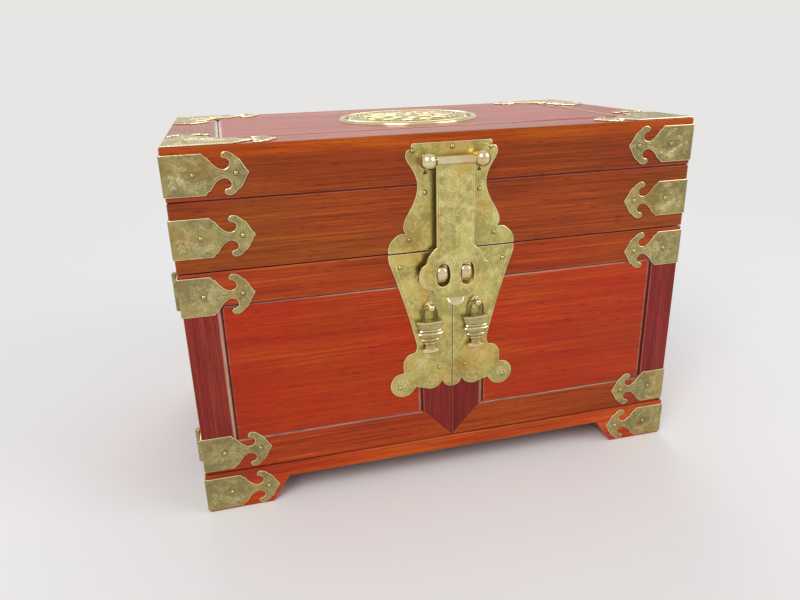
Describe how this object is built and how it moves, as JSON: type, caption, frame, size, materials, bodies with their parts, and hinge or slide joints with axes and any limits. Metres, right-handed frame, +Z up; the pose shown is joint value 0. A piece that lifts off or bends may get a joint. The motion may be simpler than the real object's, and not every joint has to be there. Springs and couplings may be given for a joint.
{
  "type": "jewelry box",
  "caption": "Wooden jewelry box with a hinged lid over two doors, drawers behind them, a lift-out tray, brass straps, a hasp and drop pulls.",
  "frame": {"origin": "on the floor under the middle of the overall box", "axes": "+Z up, the doors face -Y, +X to the right seen from the front"},
  "size_m": [0.3282, 0.2054, 0.229],
  "materials": {
    "lacquered_wood": "gloss lacquer",
    "panel_wood": "gloss lacquer",
    "inner_wood": "satin",
    "brass": "engraved and aged, satin",
    "mirror_glass": "polished",
    "lining": "velvet"
  },
  "bodies": {
    "case": {"plinth_rails": "lacquered_wood", "plinth_sides": "lacquered_wood", "case_sides": "lacquered_wood", "case_back": "lacquered_wood", "case_bottom": "inner_wood", "compartment_floor": "inner_wood", "compartment_rail": "lacquered_wood", "drawer_partition": "inner_wood", "drawer_shelves": "inner_wood", "plinth_straps": "brass", "door_hinge_leaves": "brass", "lid_hinge_lower_leaves": "brass", "hinge_pins": "brass", "case_nails": "brass"},
    "lid": {"lid_front": "lacquered_wood", "lid_back": "lacquered_wood", "lid_sides": "lacquered_wood", "lid_top_frame": "lacquered_wood", "lid_top_panel": "panel_wood", "lid_straps": "brass", "lid_corner_plates": "brass", "medallion": "brass", "medallion_rim": "brass", "mirror_frame": "inner_wood", "mirror_glass": "mirror_glass", "lid_hinge_upper_leaves": "brass", "hasp_plate": "brass", "hasp_posts": "brass", "hasp_rod": "brass", "lid_nails": "brass"},
    "hasp": {"hasp_strap": "brass"},
    "door_left": {"door_left_frame": "lacquered_wood", "door_left_panel": "panel_wood", "door_left_hinge_straps": "brass", "door_left_lock_plate": "brass", "door_left_staple": "brass", "door_left_pull_eye": "brass", "door_left_nails": "brass"},
    "door_right": {"door_right_frame": "lacquered_wood", "door_right_panel": "panel_wood", "door_right_hinge_straps": "brass", "door_right_lock_plate": "brass", "door_right_staple": "brass", "door_right_pull_eye": "brass", "door_right_nails": "brass"},
    "pull_left": {"pull_left": "brass"},
    "pull_right": {"pull_right": "brass"},
    "tray": {"tray": "inner_wood"},
    "drawer_upper_left": {"drawer_upper_left_front": "lacquered_wood", "drawer_upper_left_box": "inner_wood", "drawer_upper_left_knob": "brass"},
    "drawer_lower_left": {"drawer_lower_left_front": "lacquered_wood", "drawer_lower_left_box": "inner_wood", "drawer_lower_left_knob": "brass"},
    "drawer_upper_right": {"drawer_upper_right_front": "lacquered_wood", "drawer_upper_right_box": "inner_wood", "drawer_upper_right_knob": "brass"},
    "drawer_lower_right": {"drawer_lower_right_front": "lacquered_wood", "drawer_lower_right_box": "inner_wood", "drawer_lower_right_knob": "brass"}
  },
  "joints": [
    {"name": "lid_hinge", "type": "hinge", "parent": "case", "child": "lid", "pos_m": [0, 0.10075, 0.1571], "axis": [-1, 0, 0], "range_deg": [0, 100]},
    {"name": "hasp_hinge", "type": "hinge", "parent": "lid", "child": "hasp", "pos_m": [0, -0.09835, 0.211], "axis": [-1, 0, 0], "range_deg": [-2.5, 195]},
    {"name": "door_left_hinge", "type": "hinge", "parent": "case", "child": "door_left", "pos_m": [-0.1621, -0.0771, 0.09], "axis": [0, 0, -1], "range_deg": [0, 165]},
    {"name": "door_right_hinge", "type": "hinge", "parent": "case", "child": "door_right", "pos_m": [0.1621, -0.0771, 0.09], "axis": [0, 0, 1], "range_deg": [0, 165]},
    {"name": "pull_left_swing", "type": "hinge", "parent": "door_left", "child": "pull_left", "pos_m": [-0.0152, -0.09485, 0.122], "axis": [-1, 0, 0], "range_deg": [0, 85]},
    {"name": "pull_right_swing", "type": "hinge", "parent": "door_right", "child": "pull_right", "pos_m": [0.0152, -0.09485, 0.122], "axis": [-1, 0, 0], "range_deg": [0, 85]},
    {"name": "tray_lift", "type": "slide", "parent": "case", "child": "tray", "axis": [0, 0, 1], "range_m": [0, 0.045]},
    {"name": "drawer_upper_left_slide", "type": "slide", "parent": "case", "child": "drawer_upper_left", "axis": [0, -1, 0], "range_m": [0, 0.092]},
    {"name": "drawer_lower_left_slide", "type": "slide", "parent": "case", "child": "drawer_lower_left", "axis": [0, -1, 0], "range_m": [0, 0.092]},
    {"name": "drawer_upper_right_slide", "type": "slide", "parent": "case", "child": "drawer_upper_right", "axis": [0, -1, 0], "range_m": [0, 0.092]},
    {"name": "drawer_lower_right_slide", "type": "slide", "parent": "case", "child": "drawer_lower_right", "axis": [0, -1, 0], "range_m": [0, 0.092]}
  ],
  "couplings": [
    {"joint": "drawer_upper_left_slide", "follows": "door_left_hinge", "m_per_rad": 0.0319},
    {"joint": "drawer_lower_left_slide", "follows": "door_left_hinge", "m_per_rad": 0.0319},
    {"joint": "drawer_upper_right_slide", "follows": "door_right_hinge", "m_per_rad": 0.0319},
    {"joint": "drawer_lower_right_slide", "follows": "door_right_hinge", "m_per_rad": 0.0319}
  ]
}
